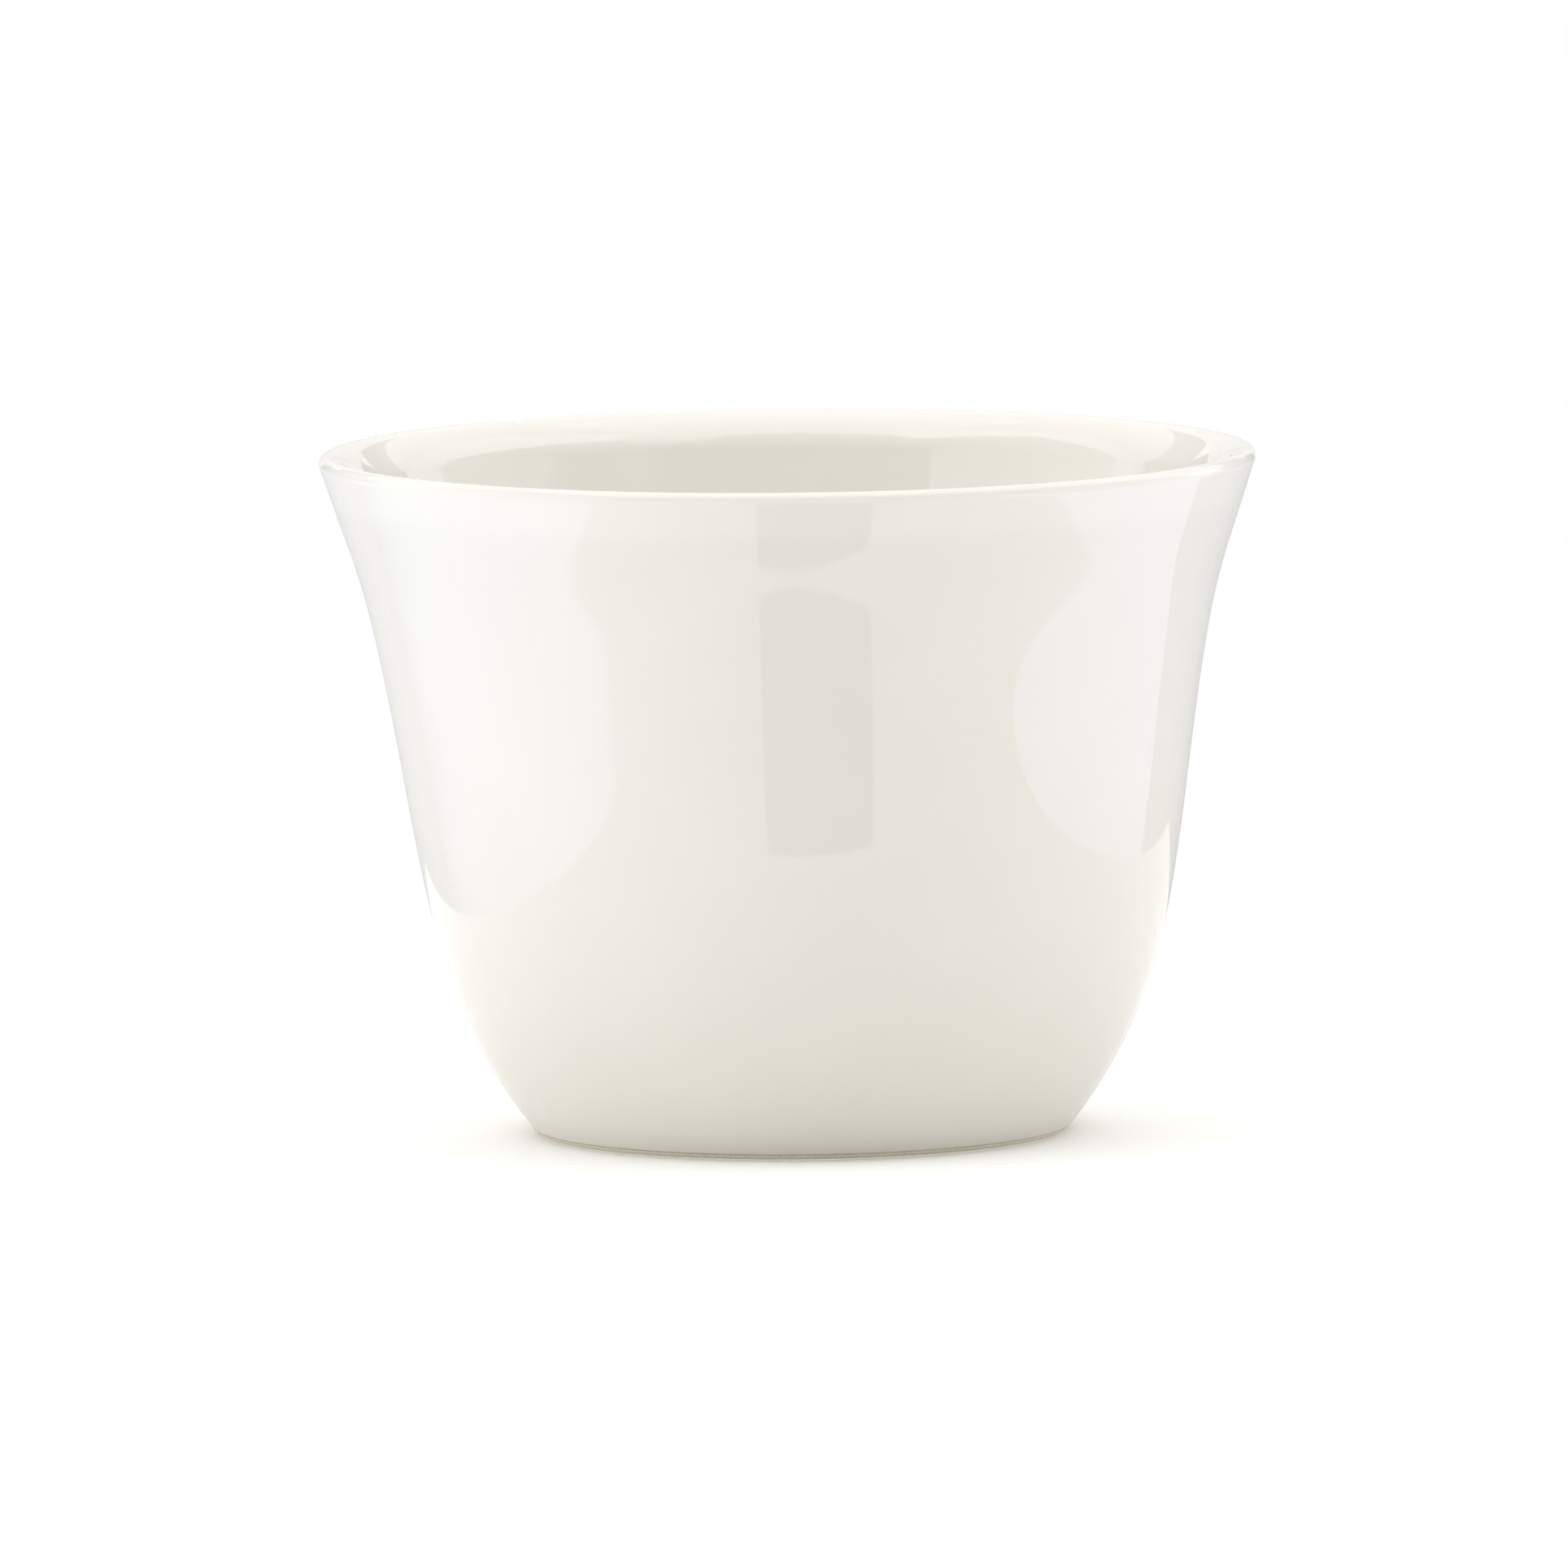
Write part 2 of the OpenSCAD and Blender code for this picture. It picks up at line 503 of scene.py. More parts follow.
    def inside(self, depth: float, steps: int) -> Stretch:
        """Walks the inside from the lip to the middle of the floor.

        Args:
            depth: How far the walk lies below the glaze surface.
            steps: Steps along each curve.

        Returns:
            Inner flare and bowl as one smooth stretch.
        """
        waist = self.inner_waist
        lip_inner = self.lip_centre - self.lip_t / 2 * out(self.lip_lean)
        flare_line = float(np.linalg.norm(lip_inner - waist))
        bowl_h = waist[1] - self.floor_h
        flare_ends = (lip_inner, lip_inner - self.lip_pull * flare_line * up(self.lip_lean),
                      waist + self.flare_pull * flare_line * up(self.waist_lean), waist)
        bowl_ends = (waist, waist - self.bowl_pull * bowl_h * up(self.waist_lean),
                     np.array([self.floor_pull * waist[0], self.floor_h]), np.array([0.0, self.floor_h]))
        return curve(flare_ends, depth, steps, self.lip_ease).then(curve(bowl_ends, depth, steps))

    def recess(self, depth: float) -> Stretch:
        """Walks the recess from the middle of its ceiling to the glaze line on the foot.

        Args:
            depth: How far the walk lies below the glaze surface.

        Returns:
            Ceiling, hollow corner and wall as one smooth stretch.
        """
        centre = np.array([self.recess_r, self.recess_depth]) - self.recess_corner_r
        corner = arc(centre, self.recess_corner_r + depth, 90.0, 0.0, self.edge_steps, air=-1)
        ceiling = line(np.array([0.0, self.recess_depth + depth]), corner.points[0], self.wall_steps)
        foot = np.array([self.recess_r + depth, self.foot_inner_edge_r])
        wall = line(corner.points[-1], foot, self.recess_wall_steps)
        return ceiling.then(corner).then(wall)

    def bare_foot(self) -> Stretch:
        """Walks the bare foot ring from the recess glaze line to the outside glaze line.

        Returns:
            Inner edge, standing face and outer edge as one smooth stretch.
        """
        inner_centre = np.array([self.foot_d / 2 - self.foot_w, self.foot_inner_edge_r])
        inner = arc(inner_centre, self.foot_inner_edge_r, 180.0, 270.0, self.edge_steps)
        outer = arc(self.foot_edge_centre, self.foot_edge_r, -90.0, -self.foot_lean, self.edge_steps)
        face = line(inner.points[-1], outer.points[0], self.face_steps)
        return inner.then(face).then(outer)


@dataclass(frozen=True)
class GlossGlaze:
    """Clear gloss glaze fired onto white porcelain: an ivory tone under a glass surface that mirrors softly.

    Attributes:
        name: Name of the material.
        thin: Tone where the coat is thin.
        full: Tone where the coat is thick.
        pooled: Tone where the coat has run together.
        lip: Tone on the lip, where the coat has run off.
        pool_from: Height in millimetres below which the coat is fully pooled.
        pool_to: Height in millimetres above which nothing has pooled.
        lip_from: Height in millimetres above which the coat grows thin.
        lip_to: Height in millimetres above which the coat is as thin as on the lip.
        mottle_mm: Size of the soft clouds of tone.
        mottle_low: Level of the clouds' pattern that counts as thin.
        mottle_high: Level of the clouds' pattern that counts as thick.
        ripple_mm: Size of the slow waves on the surface.
        ripple_depth_mm: Depth of those waves.
        peel_mm: Size of the fine dimples on the surface.
        peel_depth_mm: Depth of those dimples.
        roughness: Roughness of the glass surface.
        roughness_spread: Share by which the dimples raise and lower that roughness.
        ior: Refractive index of the glass.
    """

    name: str
    thin: str = "#E3E0D9"
    full: str = "#E1DED7"
    pooled: str = "#DFDBD2"
    lip: str = "#E5E2DB"
    pool_from: float = 0.3
    pool_to: float = 2.2
    lip_from: float = 43.5
    lip_to: float = 45.3
    mottle_mm: float = 11.0
    mottle_low: float = 0.3
    mottle_high: float = 0.7
    ripple_mm: float = 7.0
    ripple_depth_mm: float = 0.012
    peel_mm: float = 1.1
    peel_depth_mm: float = 0.0008
    roughness: float = 0.025
    roughness_spread: float = 0.3
    ior: float = 1.55

    def coat_colour(self, tree: bpy.types.NodeTree, place: bpy.types.NodeSocket) -> bpy.types.NodeSocket:
        """Mixes the coat's colour: soft clouds of tone, lighter on the lip and deeper where it has pooled.

        Args:
            tree: The node tree of the material.
            place: Object coordinates.

        Returns:
            The colour's output socket.
        """
        clouds = add_node(tree, "ShaderNodeTexNoise", {
            "Vector": place, "Scale": 1 / (self.mottle_mm * MM), "Detail": 3.0, "Roughness": 0.55})
        cloud_share = add_node(tree, "ShaderNodeMapRange", {
            "Value": clouds.outputs["Fac"], "From Min": self.mottle_low, "From Max": self.mottle_high})
        height = add_node(tree, "ShaderNodeSeparateXYZ", {"Vector": place}).outputs["Z"]
        lip_share = add_node(tree, "ShaderNodeMapRange", {
            "Value": height, "From Min": self.lip_from * MM, "From Max": self.lip_to * MM},
            interpolation_type="SMOOTHSTEP")
        pool_share = add_node(tree, "ShaderNodeMapRange", {
            "Value": height, "From Min": self.pool_from * MM, "From Max": self.pool_to * MM, "To Min": 1.0,
            "To Max": 0.0}, interpolation_type="SMOOTHSTEP")
        colour: Any = linear(self.thin)
        for share, tone in ((cloud_share, self.full), (lip_share, self.lip), (pool_share, self.pooled)):
            colour = add_node(tree, "ShaderNodeMix", {
                "Factor": share.outputs["Result"], MIX_A: colour, MIX_B: linear(tone)},
                data_type="RGBA").outputs[MIX_OUT]
        return colour

    def material(self) -> bpy.types.Material:
        """Makes the glaze's node material on Object coordinates.

        Returns:
            The material.
        """
        material, tree = empty_material(self.name)
        place = add_node(tree, "ShaderNodeTexCoord").outputs["Object"]
        ripple = add_node(tree, "ShaderNodeTexNoise", {
            "Vector": place, "Scale": 1 / (self.ripple_mm * MM), "Detail": 1.0})
        slow = add_node(tree, "ShaderNodeBump", {
            "Height": ripple.outputs["Fac"], "Strength": 1.0, "Distance": self.ripple_depth_mm * MM})
        peel = add_node(tree, "ShaderNodeTexNoise", {
            "Vector": place, "Scale": 1 / (self.peel_mm * MM), "Detail": 2.0})
        fine = add_node(tree, "ShaderNodeBump", {
            "Height": peel.outputs["Fac"], "Strength": 1.0, "Distance": self.peel_depth_mm * MM,
            "Normal": slow.outputs["Normal"]})
        gloss = add_node(tree, "ShaderNodeMapRange", {
            "Value": peel.outputs["Fac"], "To Min": self.roughness * (1 - self.roughness_spread),
            "To Max": self.roughness * (1 + self.roughness_spread)})
        shader = add_node(tree, "ShaderNodeBsdfPrincipled", {
            "Base Color": self.coat_colour(tree, place), "Roughness": gloss.outputs["Result"],
            "IOR": self.ior, "Normal": fine.outputs["Normal"]})
        add_node(tree, "ShaderNodeOutputMaterial", {"Surface": shader.outputs["BSDF"]})
        return material


@dataclass(frozen=True)
class BarePorcelain:
    """Unglazed fired porcelain on the wiped foot ring: chalky, warm white and finely gritty.

    Attributes:
        name: Name of the material.
        clay: Tone of the fired clay.
        toasted: Tone of the darker grains in it.
        grit_mm: Size of the grit.
        grit_depth_mm: Depth of the grit.
        grit_strength: Share of that depth that shows.
        toast_from: Level of the grit's pattern above which a grain turns darker.
        toast_to: Level at which a grain has the toasted tone.
        roughness: Roughness of the surface.
    """

    name: str = "bare_fired_porcelain"
    clay: str = "#E2DCCF"
    toasted: str = "#CFC3AE"
    # Real grit of about 0.05 mm is too fine to show in the render, so it is drawn this coarse
    grit_mm: float = 0.35
    grit_depth_mm: float = 0.02
    grit_strength: float = 0.6
    toast_from: float = 0.45
    toast_to: float = 0.8
    roughness: float = 0.72

    def material(self) -> bpy.types.Material:
        """Makes the clay's node material on Object coordinates.

        Returns:
            The material.
        """
        material, tree = empty_material(self.name)
        place = add_node(tree, "ShaderNodeTexCoord").outputs["Object"]
        grit = add_node(tree, "ShaderNodeTexNoise", {
            "Vector": place, "Scale": 1 / (self.grit_mm * MM), "Detail": 4.0, "Roughness": 0.7})
        share = add_node(tree, "ShaderNodeMapRange", {
            "Value": grit.outputs["Fac"], "From Min": self.toast_from, "From Max": self.toast_to})
        colour = add_node(tree, "ShaderNodeMix", {
            "Factor": share.outputs["Result"], MIX_A: linear(self.clay), MIX_B: linear(self.toasted)},
            data_type="RGBA")
        bump = add_node(tree, "ShaderNodeBump", {
            "Height": grit.outputs["Fac"], "Strength": self.grit_strength,
            "Distance": self.grit_depth_mm * MM})
        shader = add_node(tree, "ShaderNodeBsdfPrincipled", {
            "Base Color": colour.outputs[MIX_OUT], "Roughness": self.roughness,
            "Normal": bump.outputs["Normal"]})
        add_node(tree, "ShaderNodeOutputMaterial", {"Surface": shader.outputs["BSDF"]})
        return material


@dataclass
class CupPiece:
    """One piece of the cup, built as a closed body of revolution in place of its solid.

    Attributes:
        node: Name of the solid that the piece replaces.
        slot: Material slot of the piece; not used.
        outline: The cup's outline.
        turns: Steps round the axis.
        hidden_steps: Steps along each curve where clay and glaze meet.
    """

    node: ClassVar[str] = ""
    slot: ClassVar[Slot] = Slot.OUTSIDE

    outline: CupOutline
    turns: int = 256
    hidden_steps: int = 32

    def walk(self) -> list[Stretch]:
        """Gives the piece's closed outline, stretch by stretch."""
        raise NotImplementedError

    def build(self) -> bpy.types.Object:
        """Makes the piece's mesh and hangs it on the cup's body.

        Returns:
            The piece.
        """
        lean = KilnLean(high=self.outline.cup_h)
        made = revolve(f"{self.node}_surface", self.walk(), self.turns, lean)
        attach(made, BODY)
        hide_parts(self.node)
        return made

    def dress(self, made: bpy.types.Object, material: bpy.types.Material) -> None:
        """Gives the piece its material."""
        made.data.materials.append(material)


@dataclass
class PorcelainBody(CupPiece):
    """The fired clay body, bare on the foot ring and under glaze elsewhere."""

    node: ClassVar[str] = "porcelain_body"
    slot: ClassVar[Slot] = Slot.BARE

    def walk(self) -> list[Stretch]:
        """Gives the bare foot, the sunk outside, inside and recess, and the two ledges under the glaze edges.

        Returns:
            The stretches from the middle of the recess round the body to the middle of the floor.
        """
        depth = self.outline.glaze_t
        recess = self.outline.recess(depth)
        foot = self.outline.bare_foot()
        outside = self.outline.outside(depth, self.hidden_steps)
        inside = self.outline.inside(depth, self.hidden_steps)
        return [recess, line(recess.points[-1], foot.points[0]), foot,
                line(foot.points[-1], outside.points[0]), outside.then(inside)]


@dataclass
class OuterGlaze(CupPiece):
    """The coat on the outside wall and over the lip.

    Attributes:
        bead_r: Radius of the rounded edge where the coat ends above the foot.
        bead_steps: Steps along that edge.
    """

    node: ClassVar[str] = "outer_glaze"

    bead_r: float = 0.18
    bead_steps: int = 8

    def walk(self) -> list[Stretch]:
        """Gives the rounded lower edge, the shown surface, the joint with the lining and the clay side.

        Returns:
            The stretches round the coat.
        """
        shape, lean = self.outline, self.outline.foot_lean
        # The surface starts one edge radius up the belly curve, which sets out at three times its first pull
        start = self.bead_r / (3 * shape.foot_pull * shape.belly_line)
        surface = shape.outside(0.0, shape.wall_steps, start)
        clay_side = shape.outside(shape.glaze_t, self.hidden_steps).back()
        # The edge is a quarter circle between the end face and the surface
        centre = surface.points[0] - self.bead_r * out(lean)
        bead = arc(centre, self.bead_r, -90.0 - lean, -lean, self.bead_steps)
        return [line(clay_side.points[-1], bead.points[0]), bead.then(surface),
                line(surface.points[-1], clay_side.points[0]), clay_side]


@dataclass
class LiningGlaze(CupPiece):
    """The coat on the inside wall and floor."""

    node: ClassVar[str] = "lining_glaze"
    slot: ClassVar[Slot] = Slot.LINING

    def walk(self) -> list[Stretch]:
        """Gives the side of the clay, the joint at the lip and the shown surface.

        Returns:
            The stretches from the axis under the coat to the axis on the coat.
        """
        surface = self.outline.inside(0.0, self.outline.wall_steps)
        clay_side = self.outline.inside(self.outline.glaze_t, self.hidden_steps).back()
        return [clay_side, line(clay_side.points[-1], surface.points[0]), surface]


@dataclass
class RecessGlaze(CupPiece):
    """The coat in the recess under the floor."""

    node: ClassVar[str] = "foot_recess_glaze"

    def walk(self) -> list[Stretch]:
        """Gives the shown surface, the edge on the foot and the side of the clay.

        Returns:
            The stretches from the axis on the coat to the axis above it.
        """
        surface = self.outline.recess(0.0)
        clay_side = self.outline.recess(self.outline.glaze_t).back()
        return [surface, line(surface.points[-1], clay_side.points[0]), clay_side]


@dataclass(frozen=True)
class Sheet:
    """A flat sheet beside the stage, out of the camera's sight.

    Attributes:
        name: Name of the sheet.
        corner: Corner at the first end, in metres.
        along: Side from the first end to the last.
        across: The other side.
        shades: Whether the sheet changes the light on the cup, and isn't only mirrored in it.
    """

    name: str
    corner: Metres
    along: Metres
    across: Metres
    shades: bool = field(default=True, kw_only=True)

    def material(self) -> bpy.types.Material:
        """Makes the sheet's material."""
        raise NotImplementedError

    def build(self) -> bpy.types.Object:
        """Makes the sheet, with its length and width as its UV map.

        Returns:
            The sheet.
        """
        mesh = flat_mesh(self.name, self.corner, self.along, self.across)
        unit_square = np.array([[0, 0], [1, 0], [1, 1], [0, 1]], dtype=np.float32)
        mesh.uv_layers.new(name=SHEET_MAP).data.foreach_set("uv", unit_square.ravel())
        mesh.materials.append(self.material())
        sheet = scene_object(self.name, mesh)
        sheet.visible_camera = False
        sheet.visible_diffuse = sheet.visible_shadow = self.shades
        return sheet


@dataclass(frozen=True)
class Softbox(Sheet):
    """A softbox: a sheet that glows, brighter at one end than at the other.

    Attributes:
        first: Brightness at the first end, where 1 is white.
        last: Brightness at the last end.
        knee: Share of the length over which the first brightness holds before it falls.
        tint: Tint of the light.
    """

    first: float
    last: float
    knee: float = 0.0
    tint: str = WHITE

    def material(self) -> bpy.types.Material:
        """Makes a glow that changes along the sheet.

        Returns:
            The material.
        """
        material, tree = empty_material(f"{self.name}_glow")
        place = add_node(tree, "ShaderNodeUVMap", uv_map=SHEET_MAP)
        split = add_node(tree, "ShaderNodeSeparateXYZ", {"Vector": place.outputs["UV"]})
        level = add_node(tree, "ShaderNodeMapRange", {
            "Value": split.outputs["X"], "From Min": self.knee, "To Min": self.first, "To Max": self.last})
        glow = add_node(tree, "ShaderNodeEmission", {
            "Color": linear(self.tint), "Strength": level.outputs["Result"]})
        add_node(tree, "ShaderNodeOutputMaterial", {"Surface": glow.outputs[0]})
        return material


@dataclass(frozen=True)
class Card(Sheet):
    """A plain card of matt cloth, by default one that is only mirrored in the cup.

    Attributes:
        tone: Tone of the cloth.
    """

    tone: str = "#2A2A2A"
    shades: bool = field(default=False, kw_only=True)

    def material(self) -> bpy.types.Material:
        """Makes the matt cloth.

        Returns:
            The material.
        """
        material, tree = empty_material(f"{self.name}_cloth")
        cloth = add_node(tree, "ShaderNodeBsdfDiffuse", {"Color": linear(self.tone)})
        add_node(tree, "ShaderNodeOutputMaterial", {"Surface": cloth.outputs[0]})
        return material


@dataclass(frozen=True)
class Studio:
    """The stage: a pale board for a floor, a white room, softboxes and cards.

    Attributes:
        board_left: Left edge of the board that reflections see, in metres.
        board_right: Right edge of that board.
        board_front: Front edge of that board.
        board_back: Back edge of that board.
        board_tone: Tone of that board.
        board_left_painted_light: Tone of its left side, drawn paler as painted light where more light falls
            on it.
        edge_soft: Half the width over which the board's edges fade.
        foot_patch: Radius of the patch under the foot that lets light through to the underside.
        foot_patch_share: Share of the light that the patch holds back.
        floor_tone: Tone of the floor that the camera sees.
        floor_half: Half the side of the floor that the camera sees.
        floor_drop: How far the floor lies below the foot.
        fade_from: Distance from the cup at which the floor begins to fade to white.
        fade_to: Distance from the cup at which it is white.
        room_light: Brightness of the white room as light.
        room_tint: Tint of that light.
        softboxes: The softboxes.
        cards: The cards.
    """

    board_left: float = -0.066
    board_right: float = 0.090
    board_front: float = -0.076
    board_back: float = 0.10
    board_tone: str = "#F0EFED"
    board_left_painted_light: str = "#FCFCFC"
    edge_soft: float = 0.0003
    foot_patch: float = 0.0184
    foot_patch_share: float = 0.35
    floor_tone: str = "#FCFCFA"
    floor_half: float = 3.0
    floor_drop: float = 0.00002
    fade_from: float = 0.09
    fade_to: float = 0.30
    room_light: float = 1.18
    room_tint: str = "#FFFEFC"
    softboxes: tuple[Softbox, ...] = (
        Softbox("upper_left_softbox", (-0.30, -0.29, 0.10), (-0.55, 0.74, 0.0), (0.0, 0.0, 0.85), 2.1, 1.25),
        Softbox("upper_right_softbox", (0.45, -0.19, 0.10), (0.35, 0.94, 0.0), (0.0, 0.0, 0.85), 1.95, 1.25),
        Softbox("lower_left_softbox", (-0.60, -0.42, -0.65), (0.0, 1.02, 0.0), (0.0, 0.0, 0.57), 2.2, 0.75,
                knee=0.17, tint="#E6EFFF"),
        Softbox("lower_right_softbox", (0.60, -0.42, -0.65), (0.0, 0.88, 0.0), (0.0, 0.0, 0.57), 2.2, 1.25,
                knee=0.25, tint="#E6EFFF"),
        Softbox("overhead_softbox", (-0.45, -0.45, 0.95), (0.9, 0.0, 0.0), (0.0, 0.9, 0.0), 1.5, 1.5),
    )
    cards: tuple[Card, ...] = (
        # Mirrored as the dark upright in the middle of the wall
        Card("camera_stand", (-0.055, -0.36, -0.42), (0.205, 0.0, 0.0), (0.0, 0.0, 0.40)),
        Card("camera_column", (0.02, -0.37, -0.42), (0.05, 0.0, 0.0), (0.0, 0.0, 0.40), shades=True),
        # Mirrored as the dark dome at the back of the mouth, and its paler sides
        Card("camera_side", (-0.60, -0.80, 0.26), (1.60, 0.0, 0.0), (0.0, 0.0, 0.40), shades=True),
        Card("camera_flag", (-0.80, -0.79, 0.26), (1.47, 0.0, 0.0), (0.0, 0.0, 0.94)),
        Card("front_right_flag", (0.67, -0.79, 0.26), (1.23, 0.0, 0.0), (0.0, 0.0, 0.59), "#A0A0A0"),
        Card("right_flag", (0.44, -0.19, 0.04), (0.12, 0.47, 0.045), (0.0, 0.0, 0.29), "#D8D8D8"),
        Card("left_flag", (-0.29, -0.29, 0.12), (-0.225, 0.46, 0.04), (0.0, 0.0, 0.18), "#E4E4E4"),
        Card("ceiling_flag", (-0.40, -0.40, 0.60), (0.62, 0.0, 0.0), (0.0, 0.0, 0.345)),
        Card("upper_left_flag", (-0.285, -0.285, 0.30), (-0.225, 0.46, 0.02), (0.05, -0.10, 0.26), "#808080"),
        Card("upper_right_flag", (0.43, -0.23, 0.27), (0.0, 0.45, 0.0), (0.0, -0.40, 0.40), "#707070"),
        # Mirrored as the dark edges of the fans at both ends of the mouth
        Card("rear_right_flag", (0.58, 0.544, 0.0), (-0.36, 0.276, 0.0), (0.0, 0.0, 0.21), "#909090"),
        Card("rear_right_gable", (0.58, 0.544, 0.0), (-0.36, 0.276, 0.29), (0.0, 0.0, 0.21), "#909090"),
        Card("rear_left_flag", (-0.671, 0.388, 0.0), (0.409, 0.412, 0.0), (0.0, 0.0, 0.235), "#8C8C8C"),
        Card("rear_left_gable", (-0.671, 0.388, 0.0), (0.409, 0.412, 0.325), (0.0, 0.0, 0.235), "#8C8C8C"),
        # Sets the ends of the lip off from the white room
        Card("backdrop_card", (-0.45, 1.36, -0.04), (0.90, 0.0, 0.0), (0.0, 0.0, 0.70), "#DCDCDC"),
        # Mirrored in the front and at the left and right edges of the wall
        Card("front_card", (-0.60, -0.42, -1.20), (1.20, 0.0, 0.0), (0.0, 0.0, 1.18), "#F0F0F0"),
        Card("rear_left_card", (-0.60, 0.60, -0.60), (0.48, 0.0, 0.0), (0.0, 0.0, 0.62), "#C4C4C4",
             shades=True),
        Card("rear_right_card", (0.10, 0.46, -0.60), (0.50, 0.0, 0.0), (0.0, 0.0, 0.62), "#B4B4B4",
             shades=True),
    )

    def board_share(self, tree: bpy.types.NodeTree, place: bpy.types.Node,
                    away: bpy.types.NodeSocket) -> bpy.types.NodeSocket:
        """Works out how much of the board a ray meets: all of it, a share on the patch, none past the edges.

        Args:
            tree: The node tree of the floor's material.
            place: Node that gives X and Y on the floor.
            away: Distance from the middle of the foot.

        Returns:
            The share's output socket.
        """
        patch = add_node(tree, "ShaderNodeMapRange", {
            "Value": away, "From Min": self.foot_patch - self.edge_soft, "From Max": self.foot_patch,
            "To Min": self.foot_patch_share})
        share = patch.outputs["Result"]
        edges = (("X", self.board_left, self.edge_soft), ("X", self.board_right, -self.edge_soft),
                 ("Y", self.board_front, self.edge_soft), ("Y", self.board_back, -self.edge_soft))
        for axis, edge, soft in edges:
            step = add_node(tree, "ShaderNodeMapRange", {
                "Value": place.outputs[axis], "From Min": edge - soft, "From Max": edge + soft},
                interpolation_type="SMOOTHSTEP")
            share = add_node(tree, "ShaderNodeMath", {0: step.outputs["Result"], 1: share},
                             operation="MULTIPLY").outputs[0]
        return share

    def floor_material(self) -> bpy.types.Material:
        """Makes the floor's material.

        The camera sees a pale floor that fades to white away from the cup. Every other ray sees a board of
        the stated size, and passes by it outside its edges. The foot hides the patch that lets light through
        to the underside.

        Returns:
            The material.
        """
        material, tree = empty_material("pale_board")
        coordinates = add_node(tree, "ShaderNodeTexCoord").outputs["Object"]
        place = add_node(tree, "ShaderNodeSeparateXYZ", {"Vector": coordinates})
        away = add_node(tree, "ShaderNodeVectorMath", {0: coordinates}, operation="LENGTH").outputs["Value"]
        path = add_node(tree, "ShaderNodeLightPath")
        geometry = add_node(tree, "ShaderNodeNewGeometry")
        clear = add_node(tree, "ShaderNodeBsdfTransparent")

        # Painted light: the board grows paler towards its left edge, where more light falls on it
        rightward = add_node(tree, "ShaderNodeMapRange", {
            "Value": place.outputs["X"], "From Min": self.board_left, "From Max": 0.0})
        tone = add_node(tree, "ShaderNodeMix", {
            "Factor": rightward.outputs["Result"], MIX_A: linear(self.board_left_painted_light),
            MIX_B: linear(self.board_tone)}, data_type="RGBA")
        board = add_node(tree, "ShaderNodeBsdfDiffuse", {"Color": tone.outputs[MIX_OUT]})
        met = add_node(tree, "ShaderNodeMixShader", {
            0: self.board_share(tree, place, away), 1: clear.outputs[0], 2: board.outputs[0]})

        pale = add_node(tree, "ShaderNodeBsdfDiffuse", {"Color": linear(self.floor_tone)})
        white = add_node(tree, "ShaderNodeEmission", {"Color": linear(WHITE), "Strength": 1.0})
        fade = add_node(tree, "ShaderNodeMapRange", {
            "Value": away, "From Min": self.fade_from, "From Max": self.fade_to},
            interpolation_type="SMOOTHSTEP")
        seen = add_node(tree, "ShaderNodeMixShader", {
            0: fade.outputs["Result"], 1: pale.outputs[0], 2: white.outputs[0]})
        seen_above = add_node(tree, "ShaderNodeMixShader", {
            0: geometry.outputs["Backfacing"], 1: seen.outputs[0], 2: clear.outputs[0]})
        final = add_node(tree, "ShaderNodeMixShader", {
            0: path.outputs["Is Camera Ray"], 1: met.outputs[0], 2: seen_above.outputs[0]})
        add_node(tree, "ShaderNodeOutputMaterial", {"Surface": final.outputs[0]})
        return material

    def build_floor(self) -> None:
        """Lays the floor just below the foot."""
        half = self.floor_half
        corner = (-half, -half, -self.floor_drop)
        mesh = flat_mesh("floor", corner, (2 * half, 0.0, 0.0), (0.0, 2 * half, 0.0))
        mesh.materials.append(self.floor_material())
        floor = scene_object("floor", mesh)

    def build_world(self) -> None:
        """Makes the white room: plain white to the camera and in mirror images, and brighter as light."""
        world = bpy.data.worlds.new("white_room")
        world.use_nodes = True
        tree = world.node_tree
        tree.nodes.clear()
        room = add_node(tree, "ShaderNodeBackground", {
            "Color": linear(self.room_tint), "Strength": self.room_light})
        white = add_node(tree, "ShaderNodeBackground", {"Color": linear(WHITE), "Strength": 1.0})
        path = add_node(tree, "ShaderNodeLightPath")
        plain = path.outputs["Is Camera Ray"]
        for ray in ("Is Glossy Ray", "Is Transmission Ray"):
            plain = add_node(tree, "ShaderNodeMath", {0: plain, 1: path.outputs[ray]},
                             operation="MAXIMUM").outputs[0]
        mixed = add_node(tree, "ShaderNodeMixShader", {0: plain, 1: room.outputs[0], 2: white.outputs[0]})
        add_node(tree, "ShaderNodeOutputWorld", {"Surface": mixed.outputs[0]})
        bpy.context.scene.world = world

    def build(self) -> None:
        """Sets up the whole stage."""
        self.build_floor()
        self.build_world()
        for sheet in (*self.softboxes, *self.cards):
            sheet.build()
        bpy.context.scene.view_settings.view_transform = "Standard"


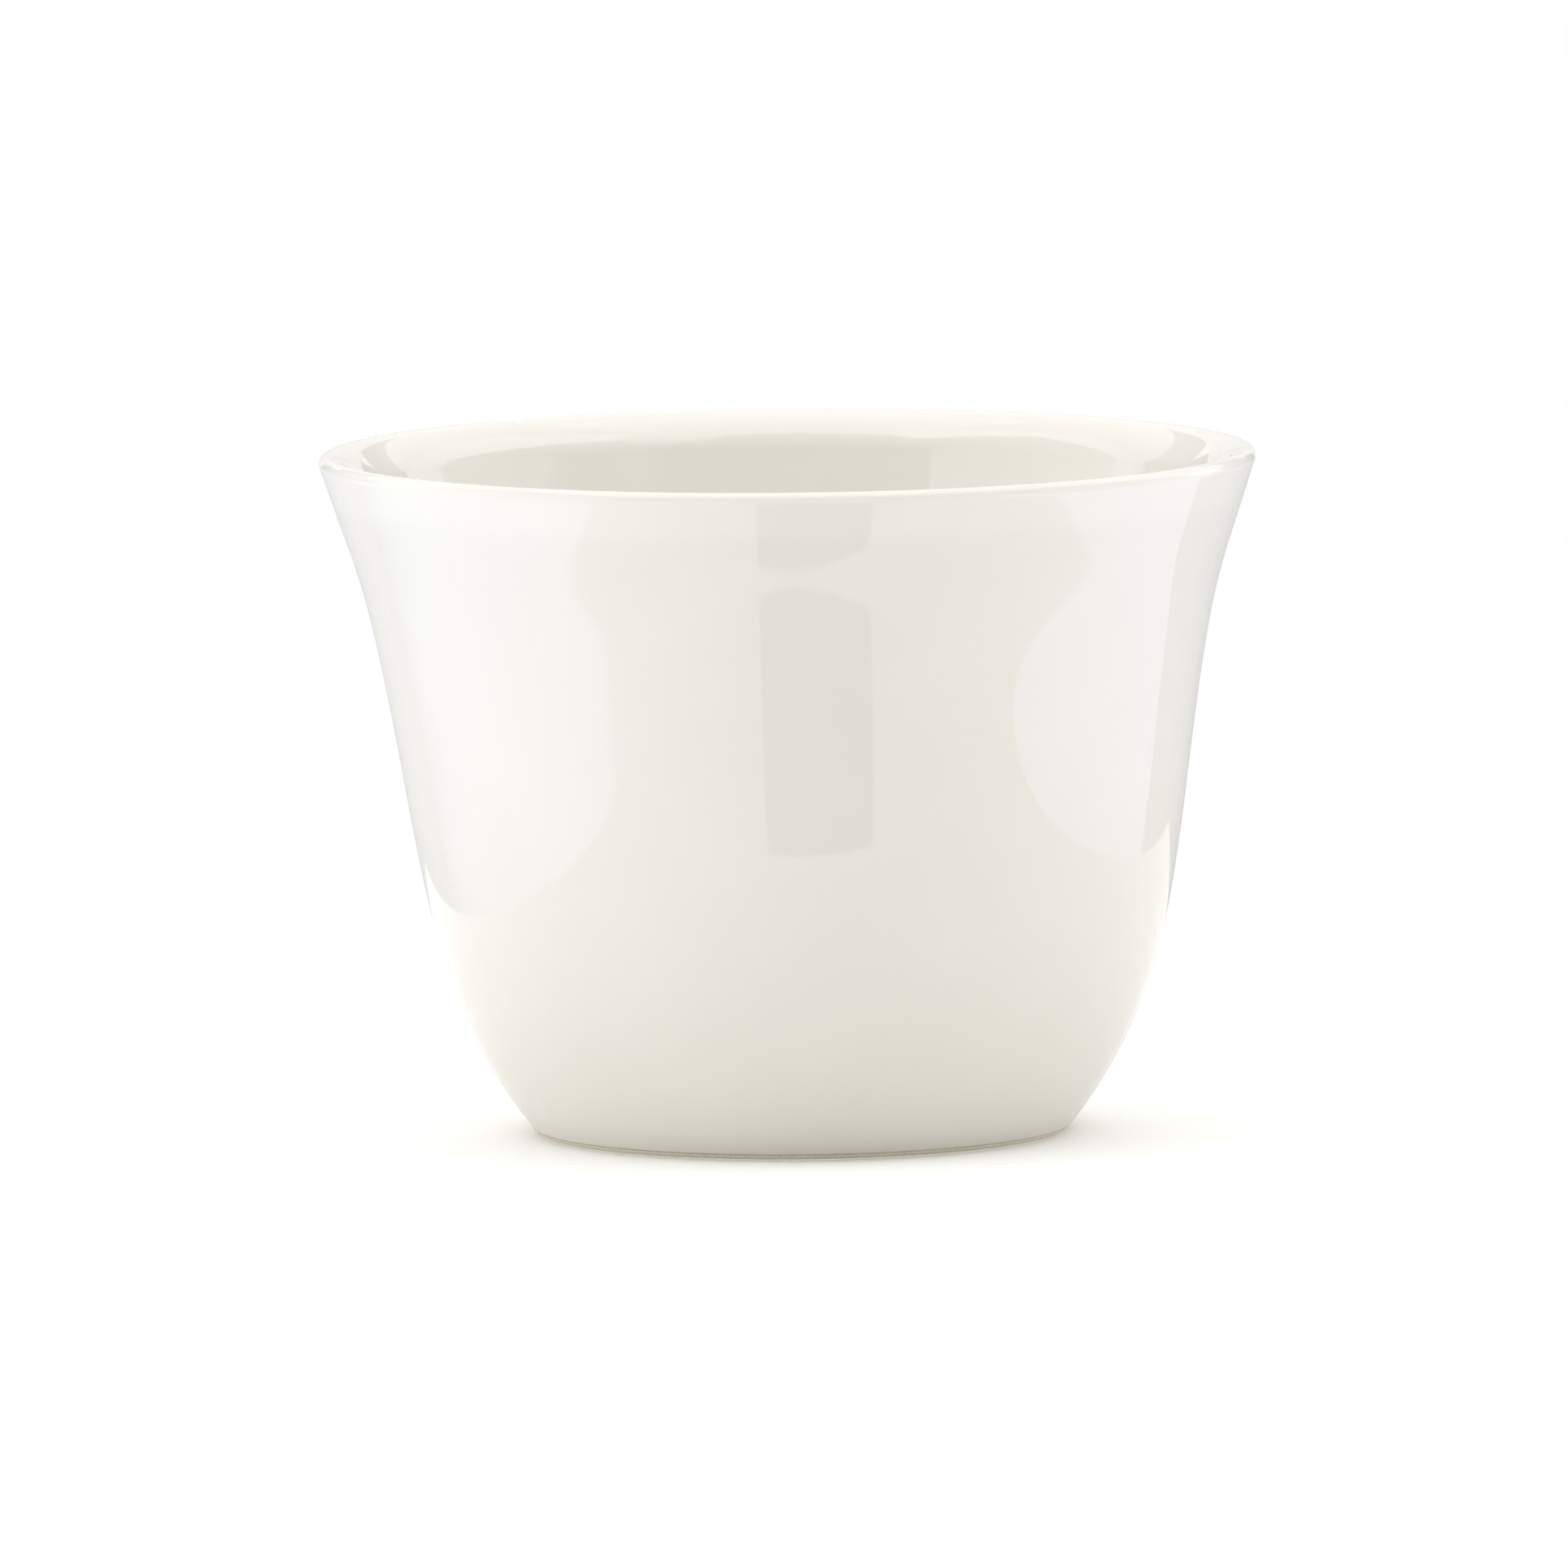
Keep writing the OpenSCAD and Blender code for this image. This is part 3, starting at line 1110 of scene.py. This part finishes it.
@dataclass(frozen=True)
class StudioCamera:
    """The camera: a long lens a little above the lip, rolled by a hair.

    Attributes:
        distance: Distance to the aim point, in metres.
        elevation: Height angle above the horizon, in degrees.
        roll: Turn about the line of sight, in degrees.
        aim: The point in the middle of the picture, in metres.
        pixels_per_mm: Scale of the picture at the aim point, in pixels of the full picture.
        picture: Side of the square picture, in pixels.
        sensor_mm: Width of the sensor.
        near: Nearest distance that the camera sees, in metres.
        far: Farthest distance that it sees.
    """

    distance: float = 2.0
    elevation: float = 5.9
    roll: float = -0.58
    aim: Metres = (-0.001055, 0.0, 0.024255)
    pixels_per_mm: float = 17.69
    picture: int = 1932
    sensor_mm: float = 36.0
    near: float = 0.05
    far: float = 20.0

    def build(self) -> None:
        """Makes the camera and makes it the scene's own."""
        lens = bpy.data.cameras.new("studio_camera")
        lens.sensor_width = self.sensor_mm
        lens.lens = self.pixels_per_mm / MM * self.distance / self.picture * self.sensor_mm
        lens.clip_start, lens.clip_end = self.near, self.far
        camera = scene_object("studio_camera", lens)
        tilt = math.radians(self.elevation)
        back = Vector((0.0, -math.cos(tilt), math.sin(tilt)))
        turn = (-back).to_track_quat("-Z", "Y").to_matrix().to_4x4()
        place = Matrix.Translation(Vector(self.aim) + back * self.distance)
        camera.matrix_world = place @ turn @ Matrix.Rotation(math.radians(self.roll), 4, "Z")
        bpy.context.scene.camera = camera


def main() -> None:
    """Builds and dresses the pieces in order, then the stage and the camera."""
    logging.basicConfig(level=logging.INFO, format="%(name)s: %(message)s")
    outline = CupOutline()
    outside = GlossGlaze("ivory_gloss_glaze").material()
    # The lining is the same glaze drawn a little paler: painted light that brightens the shaded inside of the
    # cup
    lining = GlossGlaze("ivory_gloss_lining_painted_lighter", thin="#E7E4DD", full="#E5E2DB", pool_from=5.0,
                        pool_to=9.0).material()
    clay = BarePorcelain().material()
    dressing = ((PorcelainBody(outline), clay), (OuterGlaze(outline), outside),
                (LiningGlaze(outline), lining), (RecessGlaze(outline), outside))
    for piece, material in dressing:
        made = piece.build()
        piece.dress(made, material)
        LOG.info("%s: %d faces in %s", made.name, len(made.data.polygons), material.name)
    Studio().build()
    StudioCamera().build()


if __name__ == "__main__":
    main()
